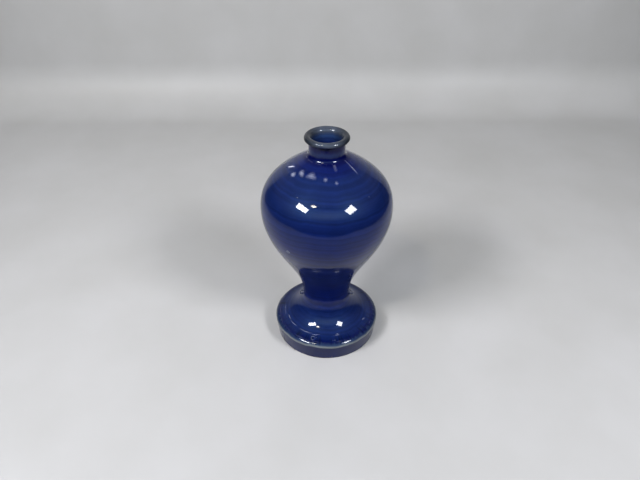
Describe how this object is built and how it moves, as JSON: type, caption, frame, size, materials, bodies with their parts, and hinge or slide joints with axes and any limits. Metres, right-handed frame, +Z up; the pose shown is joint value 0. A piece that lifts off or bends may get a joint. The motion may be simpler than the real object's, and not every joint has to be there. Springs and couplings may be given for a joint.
{
  "type": "bud vase",
  "caption": "Small porcelain bud vase: high-shouldered body on a narrow waist and flared hollow foot, short neck, rolled lip, deep blue glaze.",
  "frame": {"origin": "centre of the foot ring, on the surface that the vase stands on", "axes": "+Z up along the axis of the vase; X and Y are any two directions across it, because every piece is round"},
  "size_m": [0.0828, 0.0828, 0.15],
  "materials": {
    "porcelain": "fired, unglazed, fine and matt",
    "luting_slip": "fired slip, matt",
    "cobalt_glaze": "glossy cobalt blue glaze, thin and pale at the lip and the edge of the foot",
    "clear_glaze": "glossy clear glaze with a cool tint"
  },
  "bodies": {
    "root": {"pedestal": "porcelain", "waist_slip": "luting_slip", "lower_body": "porcelain", "belly_slip": "luting_slip", "upper_body": "porcelain", "neck_slip": "luting_slip", "neck": "porcelain", "outer_glaze": "cobalt_glaze", "inner_glaze": "cobalt_glaze", "recess_glaze": "clear_glaze"}
  },
  "joints": []
}
